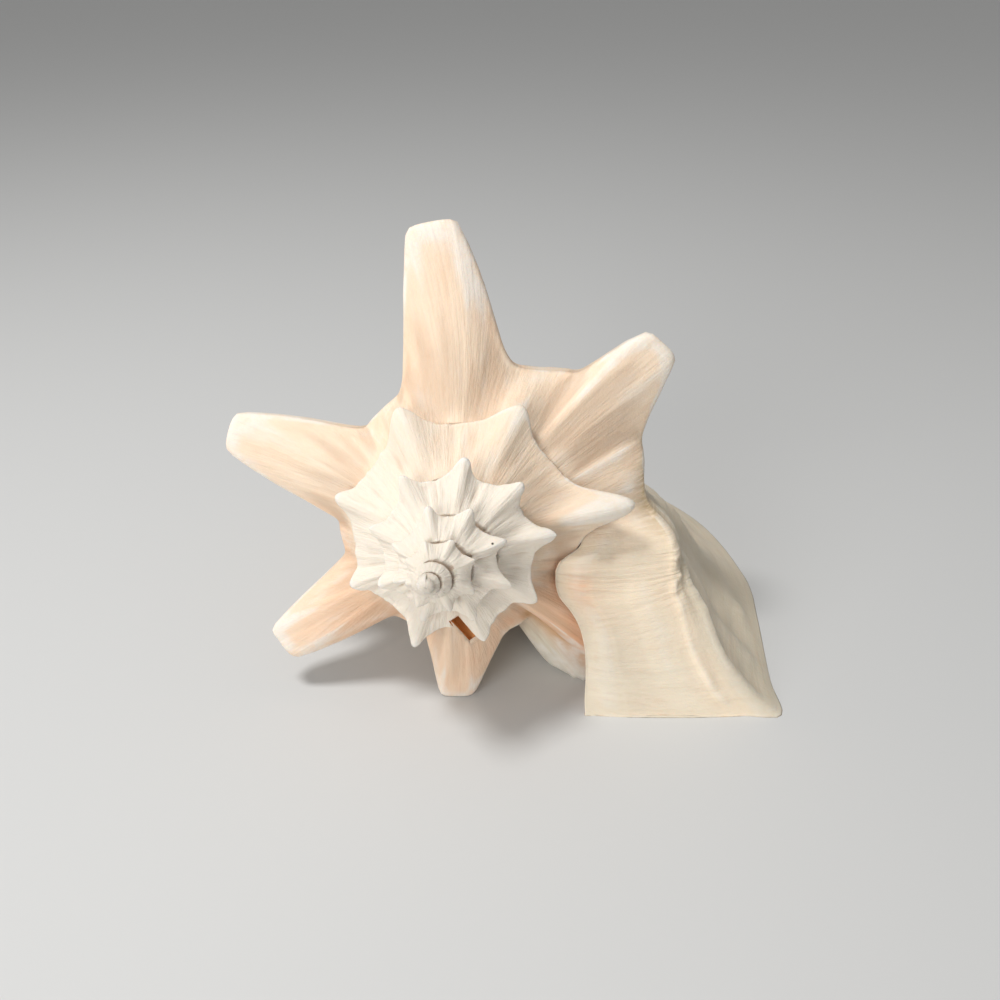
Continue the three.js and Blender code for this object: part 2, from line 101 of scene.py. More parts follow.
# Body spines: angle, reach, root half angles before and after, how hollow each side is, half
# angles of the tip, lean along growth, rise to the apex, thickness, how squarely the thickness
# ends, and how far the after side spreads below
BODY_SPINES = [
    (-227, 39, 21, 7, 1.6, 1.0, 4.6, 2.0, 0, -4, 34, 8, 18),
    (-181, 27, 26, 19, 2.0, 1.6, 5.0, 5.0, 2, 1, 10, 3, 0),
    (-127, 41, 21, 21, 1.6, 1.6, 5.2, 5.2, 1, 4, 12, 3, 0),
    (-67, 46, 23, 23, 1.6, 1.6, 4.8, 4.8, -2, 3, 13, 3, 0),
    (-1, 54.5, 24, 23, 1.5, 2.6, 4.8, 4.8, -8, 2, 14, 3, 0),
    (46.5, 28.5, 9, 20, 1.6, 1.6, 4.6, 4.6, 1, 4, 13, 3, 0),
]
SPREAD_DEPTH, SPINE_CURVE, SPINE_BEND, LEAN_REACH = 9.0, 1.7, 1.5, 0.6
# Spire spines, newest first: angle, reach and half angle
SPIRE_SPINES = [
    (-281, 26, 6.5), (-334, 12.5, 7.5), (-384, 12.5, 7.5), (-432, 9, 6), (-477, 8, 6),
    (-521, 12, 5.5), (-558, 9, 5.5), (-597, 8, 5.5), (-639, 11, 5.5), (-675, 9, 6), (-711, 9, 6),
    (-752, 8, 6), (-794, 6.5, 6), (-837, 6, 6), (-881, 6, 6), (-924, 6.5, 6), (-969, 7.5, 6),
    (-1011, 6, 6.5), (-1054, 6, 6.5), (-1094, 5.5, 6.5), (-1148, 4, 7), (-1190, 4, 7),
    (-1232, 4, 7), (-1275, 4, 7), (-1317, 3.4, 7), (-1369, 3, 8), (-1415, 2.8, 8), (-1460, 2.3, 8),
    (-1505, 2, 8), (-1550, 1.6, 8), (-1595, 1.3, 8),
]
SPINE_SKIRT, THORN_PART, THORN_CURVE, THORN_RISE, THORN_FADE = 13.0, 0.68, 2.3, 0.1, 1.3
# The newest spire spines are taken up by the ramp of the last turn: this share of each carries on
TAKEN_UP = {-281: 0.3, -334: 0.65, -384: 0.65}

# Rows of the skin: shares of the ramp, close together at both its edges, then counts
RAMP_SHARES = (
    0, 0.01, 0.03, 0.06, 0.1, 0.16, 0.24, 0.33, 0.43, 0.53, 0.63, 0.72, 0.8, 0.87, 0.92, 0.955, 0.98, 1,
)
BELOW_ROWS, FLANK_ROWS, FLANK_SPACING = 3, 62, 1.12
SHOULDER_ROW = len(RAMP_SHARES) - 1
SUTURE_ROW = SHOULDER_ROW + BELOW_ROWS
CANAL_ROW = SUTURE_ROW + FLANK_ROWS


def track(knots, at, item=1):
    """Smooth value through knots whose first entry is the angle, without overshoot."""
    xs = np.array([k[0] for k in knots], float)
    ys = np.array([k[item] for k in knots], float)
    slope = np.diff(ys) / np.diff(xs)
    tangent = np.concatenate(([slope[0]], np.zeros(len(xs) - 2), [slope[-1]]))
    for n in range(1, len(xs) - 1):
        if slope[n - 1] * slope[n] > 0:
            tangent[n] = 2 * slope[n - 1] * slope[n] / (slope[n - 1] + slope[n])
    at = np.clip(at, xs[0], xs[-1])
    k = np.clip(np.searchsorted(xs, at) - 1, 0, len(xs) - 2)
    wide = xs[k + 1] - xs[k]
    s = (at - xs[k]) / wide
    near = ys[k] * (2 * s**3 - 3 * s**2 + 1) + tangent[k] * wide * (s**3 - 2 * s**2 + s)
    return near + ys[k + 1] * (3 * s**2 - 2 * s**3) + tangent[k + 1] * wide * (s**3 - s**2)


def place(angle, radius, depth):
    """Points in space from growth angle, radius from the coiling axis and depth below the apex."""
    a = np.radians(angle)[..., None]
    spoke = AXIS_UP * np.cos(a) + AXIS_RIGHT * np.sin(a)
    point = APEX + AXIS * depth[..., None] + radius[..., None] * spoke
    young = np.clip((LEAN_ANGLES[0] - angle) / (LEAN_ANGLES[0] - LEAN_ANGLES[1]), 0, 1)[..., None]
    point += APEX_LEAN * young**LEAN_CURVE
    point[..., 2] = np.maximum(point[..., 2], 0.0)
    return point


def locate(point):
    """Growth angle, radius and depth of points in space."""
    out = point - APEX
    up, right = out @ AXIS_UP, out @ AXIS_RIGHT
    return np.degrees(np.arctan2(right, up)), np.hypot(up, right), out @ AXIS


def shoulder(angle):
    """The shoulder line between its spines."""
    radius = SPIRE_RADIUS * GROWTH_PER_TURN ** ((angle - SPIRE_RADIUS_ANGLE) / 360)
    late = angle >= SHOULDER[0][0]
    lag = np.where(angle > SHOULDER_LAG[0][0], track(SHOULDER_LAG, angle), 0.0)
    return (
        angle - lag,
        np.where(late, track(SHOULDER, angle, 1), radius),
        np.where(late, track(SHOULDER, angle, 2), radius * SHOULDER_DEPTH),
    )


def thorn_height(angle, centre, half):
    """One at the tip of a small spire spine, which is a rounded thorn on a wide skirt."""
    off = angle - centre
    thorn, skirt = np.exp(-((off / half) ** 2)), np.exp(-((off / SPINE_SKIRT) ** 2))
    return THORN_PART * thorn + (1 - THORN_PART) * skirt


def suture_drop(angle):
    """How far below the shoulder the next turn starts: lower under each small spine."""
    lower = sum(thorn_height(angle, centre, half) for centre, reach, half in SPIRE_SPINES)
    return shoulder(angle)[1] * (track(SUTURE_DROP, angle) + SPINE_DROP * lower)


def suture(angle):
    """The line below the shoulder where the next turn starts."""
    turned, radius, depth = shoulder(angle)
    return turned, radius * track(SUTURE_RADIUS, angle), depth + suture_drop(angle)


def upper_edge(angle):
    """Upper edge of the skin: the turn before, the apex, or the free margin of the lip."""
    _, radius, depth = suture(angle - 360)
    for centre, reach, half in SPIRE_SPINES:
        carried = TAKEN_UP.get(centre, 0) * reach * thorn_height(angle - 360, centre, half)
        radius, depth = radius + carried, depth - carried * THORN_RISE
    first = angle < START_ANGLE + 360
    radius = np.where(first, 0.0, radius)
    depth = np.where(first, shoulder(np.array(START_ANGLE))[2] * 0.3, depth)
    _, joined_radius, joined_depth = suture(np.array(FREE_ANGLE - 360))
    newest, reach, half = SPIRE_SPINES[0]
    carried = TAKEN_UP[newest] * reach * thorn_height(FREE_ANGLE - 360, newest, half)
    joined = (FREE_ANGLE, float(joined_radius + carried), float(joined_depth - carried * THORN_RISE))
    margin = [joined] + FREE_MARGIN
    free = angle > FREE_ANGLE
    return np.where(free, track(margin, angle, 1), radius), np.where(free, track(margin, angle, 2), depth)


def lip_path(t):
    """Standing edge of the lip on the ground, from its shoulder round to the canal."""
    knots = np.array(LIP_EDGE, float)
    ends = np.vstack((2 * knots[0] - knots[1], knots, 2 * knots[-1] - knots[-2]))
    dense = []
    for k in range(len(knots) - 1):
        p0, p1, p2, p3 = ends[k:k + 4]
        gap = [max(np.linalg.norm(b - a), 1e-6) ** 0.5 for a, b in ((p0, p1), (p1, p2), (p2, p3))]
        m1 = ((p1 - p0) / gap[0] - (p2 - p0) / (gap[0] + gap[1]) + (p2 - p1) / gap[1]) * gap[1]
        m2 = ((p2 - p1) / gap[1] - (p3 - p1) / (gap[1] + gap[2]) + (p3 - p2) / gap[2]) * gap[1]
        s = np.linspace(0, 1, 24, endpoint=False)[:, None]
        dense.append(p1 * (2 * s**3 - 3 * s**2 + 1) + m1 * (s**3 - 2 * s**2 + s)
                     + p2 * (3 * s**2 - 2 * s**3) + m2 * (s**3 - s**2))
    dense = np.vstack(dense + [knots[-1:]])
    run = np.concatenate(([0], np.cumsum(np.linalg.norm(np.diff(dense, axis=0), axis=1))))
    x = np.interp(t * run[-1], run, dense[:, 0])
    y = np.interp(t * run[-1], run, dense[:, 1])
    return np.stack((x, y, np.zeros_like(x)), axis=-1)


def ruled_flank(angle, t):
    turned, radius, depth = shoulder(angle)
    end = track(CANAL_RADIUS, angle)
    full = (1 - t**WAIST) ** FULLNESS
    return turned, end + (radius - end) * full, depth + (CANAL_DEPTH - depth) * t


def flank(angle, t):
    """Flank below the shoulder, flaring to the standing lip; t runs from shoulder to canal."""
    turned, radius, depth = ruled_flank(angle, t)
    share = np.clip((angle - FLARE_ANGLE) / (LIP_ANGLE - FLARE_ANGLE), 0, 1)
    lip_angle, lip_radius, lip_depth = locate(lip_path(t))
    last_angle, last_radius, last_depth = ruled_flank(np.full_like(t, LIP_ANGLE), t)
    return (
        turned + (lip_angle - last_angle) * share**FLARE_TURN_CURVE,
        radius + (lip_radius - last_radius) * share**FLARE_CURVE,
        depth + (lip_depth - last_depth) * share**FLARE_CURVE,
    )


def spine_height(angle, centre, before, after, hollow_before, hollow_after, tip_before, tip_after):
    """One at the tip of a spine, falling and flaring to nothing at its root."""
    off = np.abs(angle - centre)
    early = angle < centre
    root, tip = np.where(early, before, after), np.where(early, tip_before, tip_after)
    side = np.clip((off - tip) / (root - tip), 0, 1)
    return (1 - side) ** np.where(early, hollow_before, hollow_after)


def spine_push(angle, radius, drop, below, share):
    """How far the spines carry the skin along growth, outwards and down."""
    turn, out, down = np.zeros_like(below), np.zeros_like(below), np.zeros_like(below)
    for centre, reach, *sides, lean, rise, thick, square, spread in BODY_SPINES:
        late = np.maximum(angle - centre, 0)
        seen = angle - np.minimum(late, spread * (1 - np.exp(-below / SPREAD_DEPTH)))
        height = spine_height(seen, centre, *sides) * share**SPINE_CURVE
        hold = 1 / (1 + (below / thick) ** square)
        out += reach * height * hold
        turn += np.degrees(lean / radius) * height**SPINE_BEND * hold * LEAN_REACH
        down -= rise * height * hold
    for centre, reach, half in SPIRE_SPINES:
        height = thorn_height(angle, centre, half)
        taken = TAKEN_UP.get(centre, 0)
        hold = taken + (1 - taken) * np.clip(1 - below / drop, 0, 1) ** THORN_FADE
        hold = np.where(below > drop * 1.001, taken * np.exp(drop - below), hold)
        out += reach * height * hold * share**THORN_CURVE
        rise = THORN_RISE * share + (1 - THORN_RISE) * share * share * (1 - share)
        down -= reach * height * hold * rise
    return turn, out, down


def skin(angle, row_share, spines=True):
    """The skin over all columns and rows. row_share: 0 to 1 on the ramp, 1 to 2 on the flank."""
    top_radius, top_depth = upper_edge(angle)
    turned, radius, depth = shoulder(angle)
    drop = suture_drop(angle)
    share = np.clip(row_share, 0, 1)
    hollow = np.where(angle < LAST_FULL_ANGLE, FULL_RAMP, HOLLOW_RAMP) * (angle < FLARE_ANGLE)
    first = angle < START_ANGLE + 360
    sag = hollow * (radius - top_radius) * np.sin(np.pi * share) * ~first
    ramp = (
        angle + (turned - angle) * share,
        top_radius + (radius - top_radius) * np.where(first, np.sin(share * np.pi / 2), share),
        top_depth + (depth - top_depth) * np.where(first, 1 - np.cos(share * np.pi / 2), share) + sag,
    )
    t = np.clip(row_share - 1, 0, 1)
    wide = np.array(flank(angle, t))
    joined = drop / (CANAL_DEPTH - depth)
    low = np.clip(t / joined, 0, 1)
    short_radius = radius + radius * (track(SUTURE_RADIUS, angle) - 1) * low
    short = np.array((turned, short_radius, depth + drop * low))
    near = (t <= joined * 1.001) & (angle <= FLARE_ANGLE)
    wide = np.where(near, short, wide)
    on_ramp = row_share <= 1
    at = np.where(on_ramp, np.array(ramp), wide)
    if spines:
        below = np.where(on_ramp, 0, np.maximum(at[2] - depth, 0))
        at = at + np.array(spine_push(turned, radius, drop, below, share))
    return at


def rows_at(angle):
    """Row shares of one column: ramp, the strip down to the suture, then the flank to the canal."""
    _, radius, depth = shoulder(angle)
    first = suture_drop(angle) / (CANAL_DEPTH - depth)
    wall = first + WALL / (CANAL_DEPTH - depth)
    below = np.linspace(0, 1, BELOW_ROWS + 1)[1:]
    rest = np.linspace(0, 1, FLANK_ROWS) ** FLANK_SPACING
    rows = np.empty(angle.shape + (CANAL_ROW + 1,))
    rows[..., :SHOULDER_ROW + 1] = RAMP_SHARES
    rows[..., SHOULDER_ROW + 1:SUTURE_ROW + 1] = 1 + first[..., None] * below
    rows[..., SUTURE_ROW + 1:] = 1 + wall[..., None] + (1 - wall[..., None]) * rest
    return rows


FINE_ANGLE, FINE_STEP = 100.0, 0.4
coarse = np.arange(START_ANGLE, FINE_ANGLE, STEP)
fine = np.arange(FINE_ANGLE, LIP_ANGLE - FINE_STEP / 2, FINE_STEP)
angles = np.concatenate((coarse, fine, [LIP_ANGLE]))
columns = len(angles)
mouth = int(np.searchsorted(angles, MOUTH_ANGLE))
free = int(np.searchsorted(angles, FREE_ANGLE))
body_start = mouth - TURN
grown = np.repeat(angles[:, None], CANAL_ROW + 1, axis=1)
row_share = rows_at(angles)
skin_points = place(*skin(grown, row_share))
plain_points = place(*skin(grown, row_share, spines=False))

# The last column stands on the ground: a straight edge to the shoulder, then round to the canal
on_ramp = row_share[-1][:, None] <= 1
straight = np.array(LIP_REAR + (0.0,)) * (1 - row_share[-1][:, None])
straight = straight + np.array(LIP_SHOULDER + (0.0,)) * np.minimum(row_share[-1][:, None], 1)
edge = np.where(on_ramp, straight, lip_path(np.clip(row_share[-1] - 1, 0, 1)))
skin_points[-1] = edge
plain_points[-1] = edge


def soften(points, rounds, weight):
    """Rounds the skin across its rows and columns where weight is above nothing."""
    for _ in range(rounds):
        across = points.copy()
        across[:, 1:-1] = points[:, 1:-1] * 0.5 + (points[:, :-2] + points[:, 2:]) * 0.25
        along = across.copy()
        along[1:-1] = across[1:-1] * 0.84 + (across[:-2] + across[2:]) * 0.08
        points = points + (along - points) * weight[..., None]
    return points


# The shoulder is rounded over a few rows, less on the old turns and not at the standing edge
OLD_ANGLE, OLD_SPAN = -300, 120
KEEL_ROWS, KEEL_END, KEEL_ROUNDS, OLD_KEEL = 2.4, 12, 6, 0.35
near_keel = np.exp(-((np.arange(CANAL_ROW + 1) - SHOULDER_ROW) / KEEL_ROWS) ** 2)
weight = np.repeat(near_keel[None], columns, axis=0)
weight[-KEEL_END:] *= np.linspace(1, 0, KEEL_END)[:, None]
weight[angles < OLD_ANGLE] *= OLD_KEEL
skin_points = soften(skin_points, KEEL_ROUNDS, weight)


def noise(degrees, cells_r, seed):
    """Smooth seeded noise over the skin: the width of its cells in degrees, and how many rows of them."""
    cells_a = (LIP_ANGLE - START_ANGLE) / degrees
    table = np.random.default_rng(seed).uniform(-1, 1, (int(cells_a) + 3, int(cells_r) + 3))
    a = ((angles - START_ANGLE) / degrees)[:, None] * np.ones((1, CANAL_ROW + 1))
    r = np.ones((columns, 1)) * np.linspace(0, cells_r, CANAL_ROW + 1)[None]
    ia, ir = a.astype(int), r.astype(int)
    fa, fr = a - ia, r - ir
    fa, fr = fa * fa * (3 - 2 * fa), fr * fr * (3 - 2 * fr)
    low = table[ia, ir] * (1 - fa) + table[ia + 1, ir] * fa
    high = table[ia, ir + 1] * (1 - fa) + table[ia + 1, ir + 1] * fa
    return low * (1 - fr) + high * fr


def skin_normals(points):
    along = np.gradient(points, axis=0)
    across = np.gradient(points, axis=1)
    normal = np.cross(along, across)
    size = np.linalg.norm(normal, axis=-1, keepdims=True)
    return normal / np.maximum(size, 1e-9)


# Relief in millimetres, smaller on the small turns: growth lines, dents and the cords of the flank
FULL_SIZE, CORD_START, CORD_PITCH, CORD_HEIGHT, RELIEF_END = 45, 1.06, 95, 0.2, 10
outward = skin_normals(skin_points)
size_here = np.clip(shoulder(grown)[1] / FULL_SIZE, 0.1, 1.0)
old = np.clip((OLD_ANGLE - grown) / OLD_SPAN, 0, 1)
growth_lines = (noise(2.6, 9, 1) * 0.16 + noise(5.9, 6, 2) * 0.22) * (1 + 1.8 * old)
dents = noise(14, 16, 3) * 0.45 + noise(11, 26, 4) * 0.4 * old
fade = np.ones((columns, CANAL_ROW + 1))
fade[-RELIEF_END:] *= np.linspace(1, 0, RELIEF_END)[:, None]
fade[:, 0] = 0
fade[:, SUTURE_ROW:SUTURE_ROW + 2] = 0
past = row_share - CORD_START
cords = np.sin(np.clip(past, 0, 1) * CORD_PITCH) * np.clip(past * 8, 0, 1) * CORD_HEIGHT


def fold(line, width, height):
    """A soft ridge of the lip along a line of growth angle and row share."""
    at = np.interp(grown, [k[0] for k in line], [k[1] for k in line])
    first, last = line[0][0], line[-1][0]
    along = np.clip((grown - first + 6) / 12, 0, 1) * np.clip((last + 3 - grown) / 5, 0, 1)
    return height * np.exp(-((row_share - at) / width) ** 2) * along


# Folds of the lip: growth angle and row share along each, its width in row share, and its height
FOLD_HEIGHT = 1.5
FOLDS = [
    ([(92, 0.975), (118, 0.99), (142, 0.97)], 0.03, 0.9),
    ([(106, 1.02), (130, 1.05), (142, 1.04)], 0.022, 1.0),
    ([(108, 1.1), (144, 1.08)], 0.035, -1.2),
    ([(112, 1.17), (144, 1.14)], 0.035, 0.8),
    ([(118, 1.4), (134, 1.37), (137.5, 1.34), (140, 1.30), (142.5, 1.25), (145, 1.19)], 0.05, 1.4),
    ([(116, 1.28), (144, 1.2)], 0.035, -0.9),
    ([(122, 1.56), (144, 1.42)], 0.045, 0.8),
    ([(96, 0.25), (112, 0.2), (145, 0.22)], 0.09, 0.6),
    ([(96, 0.45), (104, 0.4)], 0.09, -1.0),
    ([(112, 0.5), (145, 0.42)], 0.16, -0.3),
    ([(112, 0.74), (145, 0.7)], 0.12, 0.3),
]
folds = sum(fold(*each) for each in FOLDS)
folds = folds * FOLD_HEIGHT * (1 + 0.5 * noise(4.5, 40, 5) + 0.35 * noise(1.8, 60, 6))
lip_lines = noise(1.3, 7, 8) * 0.14 * np.clip((grown - 88) / 20, 0, 1)
relief = ((growth_lines + dents + cords) * size_here + folds + lip_lines) * fade
skin_points = skin_points + outward * relief[..., None]
skin_points[..., 2] = np.maximum(skin_points[..., 2], 0.0)

positions, growth, rows_out, tips, inside = [], [], [], [], []
SMALL_TIP = 0.6
turned_all = shoulder(angles)[0]
height_all = np.zeros(columns)
for centre, reach, *sides, lean, rise, thick, square, spread in BODY_SPINES:
    height_all += spine_height(turned_all, centre, *sides)
for centre, reach, half in SPIRE_SPINES:
    height_all += SMALL_TIP * thorn_height(turned_all, centre, half)


def add_point(point, angle, row, tip, within):
    positions.append(point)
    growth.append(angle)
    rows_out.append(row)
    tips.append(tip)
    inside.append(within)
    return len(positions) - 1


# Points of the outer skin. Each turn starts on the suture of the turn before it, point for point,
# so the turns are one closed skin; the old turns end at their suture and have no flank
TIP_ABOVE, TIP_BELOW = 0.28, 0.1
apex_radius, apex_depth = upper_edge(np.array([START_ANGLE]))
apex_point = add_point(place(np.array([START_ANGLE]), apex_radius, apex_depth)[0], START_ANGLE, 0, 0, 0)
outer = np.full((columns, CANAL_ROW + 1), -1)
for i in range(columns):
    last_row = CANAL_ROW if i >= body_start else SUTURE_ROW
    for row in range(last_row + 1):
        if row == 0 and i < TURN:
            outer[i, row] = apex_point
        elif row == 0 and i <= free:
            outer[i, row] = outer[i - TURN, SUTURE_ROW]
        else:
            share = row_share[i, row]
            tip = height_all[i] * math.exp(-((share - 1) / (TIP_ABOVE if share < 1 else TIP_BELOW)) ** 2)
            outer[i, row] = add_point(skin_points[i, row], angles[i], share, tip, 0)

# Inner skin of the mouth: the plain turn without its spines, set in by the thickness of the wall,
# which thins to the lip and to the free margin. Its last columns run beside the outer skin
LAST_COLUMNS, MARGIN_WALL, MARGIN_SHARE, THINNING_ANGLE, LOWEST_INNER = 8, 0.3, 0.3, 115, 0.2
inward = -skin_normals(plain_points)
inner = np.full((columns, CANAL_ROW + 1), -1)
for i in range(mouth, columns):
    share = min(max((angles[i] - THINNING_ANGLE) / (LIP_ANGLE - THINNING_ANGLE), 0), 1)
    wall = WALL + (LIP_WALL - WALL) * share
    for row in range(CANAL_ROW + 1):
        if row == 0 and i <= free:
            inner[i, row] = outer[i - TURN, SUTURE_ROW + 1]
            continue
        if i == columns - 1:
            along = skin_points[i, min(row + 1, CANAL_ROW)] - skin_points[i, max(row - 1, 0)]
            along = along / np.linalg.norm(along)
            point = skin_points[i, row] + np.array([-along[1], along[0], 0]) * LIP_WALL
        else:
            thin = MARGIN_WALL + (1 - MARGIN_WALL) * min(row_share[i, row] / MARGIN_SHARE, 1)
            k = min(i, columns - 1 - LAST_COLUMNS)
            point = plain_points[k, row] + inward[k, row] * wall * thin
            if i > k:
                point = skin_points[i, row] + point - skin_points[k, row]
            point[2] = max(point[2], LOWEST_INNER)
        inner[i, row] = add_point(point, angles[i], row_share[i, row], 0, 1)

# Faces of both skins, of the rims that join them, of the canal's end and of the wall in the mouth
quads = []
for i in range(columns - 1):
    last_row = CANAL_ROW if i >= body_start else SUTURE_ROW
    for row in range(last_row):
        if not (row == SUTURE_ROW and i < free - TURN):
            quads.append((outer[i, row], outer[i + 1, row], outer[i + 1, row + 1], outer[i, row + 1]))
for i in range(mouth, columns - 1):
    for row in range(CANAL_ROW):
        quads.append((inner[i, row], inner[i, row + 1], inner[i + 1, row + 1], inner[i + 1, row]))
    row = CANAL_ROW
    quads.append((outer[i, row], outer[i + 1, row], inner[i + 1, row], inner[i, row]))
    if i >= free:
        quads.append((outer[i, 0], inner[i, 0], inner[i + 1, 0], outer[i + 1, 0]))
for row in range(CANAL_ROW):
    end = columns - 1
    quads.append((outer[end, row], inner[end, row], inner[end, row + 1], outer[end, row + 1]))
for row in range(1, SUTURE_ROW):
    quads.append((apex_point, outer[0, row], outer[0, row + 1]))
tip_of_canal = place(np.array([0.0]), np.array([0.0]), np.array([CANAL_TIP]))[0]
canal_tip = add_point(tip_of_canal, 0, 2, 0, 0)
for i in range(body_start, mouth):
    quads.append((outer[i, CANAL_ROW], outer[i + 1, CANAL_ROW], canal_tip))

back_wall = [outer[body_start, row] for row in range(SUTURE_ROW + 1, CANAL_ROW + 1)]
back_wall += [canal_tip, outer[mouth, CANAL_ROW]]
back_wall += [inner[mouth, row] for row in range(CANAL_ROW, 0, -1)]
_, wall_radius, wall_depth = locate(np.array([positions[k] for k in back_wall]))
loop = [Vector((r, d, 0)) for r, d in zip(wall_radius, wall_depth)]
area = sum(a.x * b.y - b.x * a.y for a, b in zip(loop, loop[1:] + loop[:1]))
for a, b, c in tessellate_polygon([loop]):
    turn_way = (loop[b] - loop[a]).cross(loop[c] - loop[a]).z
    face = (back_wall[a], back_wall[b], back_wall[c])
    quads.append(face if turn_way * area > 0 else face[::-1])

faces = [list(dict.fromkeys(int(k) for k in quad)) for quad in quads]
faces = [face for face in faces if len(face) > 2]
low_corner, high_corner = CENTRE + np.array(cad_box) * 1000
points = np.clip(np.array(positions), low_corner, high_corner)
sides = np.array([(a, b) for face in faces for a, b in zip(face, face[1:] + face[:1])])
corners = np.array([(face[0], face[1], face[2]) for face in faces])
first_side, last_side = (points[corners[:, k]] - points[corners[:, 0]] for k in (1, 2))
flat = np.cross(first_side, last_side)
normals = np.zeros_like(points)
for k in range(3):
    np.add.at(normals, corners[:, k], flat)
normals /= np.maximum(np.linalg.norm(normals, axis=1, keepdims=True), 1e-9)
joins = np.maximum(np.bincount(sides[:, 0], minlength=len(points)), 1)


def spread(values, rounds):
    """Each value blended with its neighbours over the skin, round after round."""
    for _ in range(rounds):
        near = np.bincount(sides[:, 0], weights=values[sides[:, 1]], minlength=len(points)) / joins
        values = values * 0.4 + near * 0.6
    return values


def hollowness(rounds):
    """Millimetres that the skin lies below its own average: hollows above zero, crests below."""
    mean = np.stack([spread(points[:, k], rounds) for k in range(3)], axis=1)
    return ((mean - points) * normals).sum(axis=1)


growth, rows_out = np.array(growth), np.array(rows_out)
turned_size = np.clip(shoulder(growth)[1] / FULL_SIZE, 0.15, 1)
aged = np.clip((OLD_ANGLE - growth) / OLD_SPAN, 0, 1)
# Rounds over which each kind of hollow is measured, and the depth in millimetres of a full one
FINE_ROUNDS, FINE_DEPTH, AGED_DEPTH = 8, 0.25, 0.65
BROAD_ROUNDS, BROAD_EVENING, BROAD_DEPTH = 50, 6, 1.6
fine_depth = (FINE_DEPTH + AGED_DEPTH * aged) * turned_size
fine_hollow = np.clip(hollowness(FINE_ROUNDS) / fine_depth, -1, 1)
evened = spread(hollowness(BROAD_ROUNDS), BROAD_EVENING)
broad_hollow = np.clip(evened / (BROAD_DEPTH * turned_size), -1, 1)


def patch(angle, row, angle_width, row_width):
    """A soft patch of colour round one place of the skin."""
    return np.exp(-((growth - angle) / angle_width) ** 2 - ((rows_out - row) / row_width) ** 2)


outside = 1 - np.array(inside)
# Peach blushes, deeper flushes with some painted shade, bare bone, brown stains with painted shade, painted
# tan shade and grey: each a few soft patches
peach = patch(-152, 0.75, 40, 0.5) * 0.8 + patch(-205, 0.7, 22, 0.5) * 0.9
peach = peach + patch(-95, 0.9, 14, 0.4) * 0.5 + patch(-232, 0.6, 12, 0.4) + patch(-20, 0.5, 16, 0.5) * 0.35
# Deeper peach flushes; the one by the oldest body spine, under the lip's free margin, is partly painted
# shade and partly its orange glaze
flush_and_shade = patch(116, 0.2, 8, 0.11) * 0.85 + patch(7, 0.9, 5, 0.3) * 0.3 + patch(-132, 0.4, 20, 0.3) * 0.6
flush_and_shade = flush_and_shade + patch(-246, 0.6, 14, 0.4) * 0.5 + patch(-226, 0.75, 6, 0.25) * 0.4
bone = patch(-281, 0.9, 6, 0.3) * 0.6 + patch(-334, 0.9, 6, 0.3) * 0.35
bone = bone + patch(-209, 1.12, 8, 0.2) + patch(-216, 1.08, 4, 0.1)
bone = bone + 0.5 * np.clip((growth - 122) / 14, 0, 1) * np.clip((0.98 - rows_out) / 0.2, 0, 1)
# Under the lip's free margin, painted shade: ochre on the plate of the oldest body spine and orange brown,
# partly its glaze, on its ramp; and a light brown patch on the spire
stain_and_shade = patch(-223.5, 1.04, 4, 0.1) * 0.9 + patch(-218.5, 0.86, 4, 0.13) + patch(-545, 0.4, 7, 0.25) * 0.35
# Painted shade in tan: the shadow of the spire spine that lies on the lip, the recess before it, and a thin
# band along the lip's shoulder
shade_tan = patch(84, 0.98, 13, 0.2) * 0.9 + patch(72, 1.1, 14, 0.12) * 0.6 + patch(112, 1.0, 12, 0.05) * 0.5
grey = np.clip((rows_out - 1.005) / 0.03, 0, 1) * np.clip((growth - 60) / 30, 0, 1)

shell_mesh = bpy.data.meshes.new("conch_shell")
shell_mesh.from_pydata(((points - CENTRE) / 1000).tolist(), [], faces)
layers = {
    "growth": growth, "row": rows_out, "tip": np.array(tips), "inside": np.array(inside),
    "fine_hollow": fine_hollow, "broad_hollow": broad_hollow,
}
painted = {"peach": peach, "flush_and_shade": flush_and_shade, "bone": bone, "stain_and_shade": stain_and_shade, "shade_tan": shade_tan, "grey": grey}
layers.update({name: values * outside for name, values in painted.items()})
for name, values in layers.items():
    layer = shell_mesh.attributes.new(name, "FLOAT", "POINT")
    layer.data.foreach_set("value", values.astype(np.float32))
shell_mesh.polygons.foreach_set("use_smooth", [True] * len(shell_mesh.polygons))
shell = bpy.data.objects.new("conch_shell", shell_mesh)
bpy.context.scene.collection.objects.link(shell)

# Its finish: bone-dry lime, chalk white on the old turns and cream to peach on the last ones, with
# streaks along every growth line; glazed orange inside the mouth, and bare white on worn points.
# Shade is painted into its colour too: in crevices and hollows, under the lip's free margin, round
# the spire spine on the lip and in three borings.
conch = bpy.data.materials.new("worn_conch")
conch.use_nodes = True
tree = conch.node_tree
surface = tree.nodes["Principled BSDF"]


def node(kind, inputs=None, **settings):
    made = tree.nodes.new(kind)
    for key, value in settings.items():
        setattr(made, key, value)
    for key, value in (inputs or {}).items():
        if isinstance(value, bpy.types.NodeSocket):
            tree.links.new(value, made.inputs[key])
        else:
            made.inputs[key].default_value = value
    return made


def attribute(name):
    return node("ShaderNodeAttribute", attribute_name=name).outputs["Fac"]


def maths(operation, a, b=0.0, clamp=False):
    return node("ShaderNodeMath", {0: a, 1: b}, operation=operation, use_clamp=clamp).outputs[0]


def between(value, low, high, low_out=0.0, high_out=1.0):
    made = node("ShaderNodeMapRange", {0: value, 1: low, 2: high, 3: low_out, 4: high_out})
    made.interpolation_type = "SMOOTHSTEP"
    return made.outputs[0]


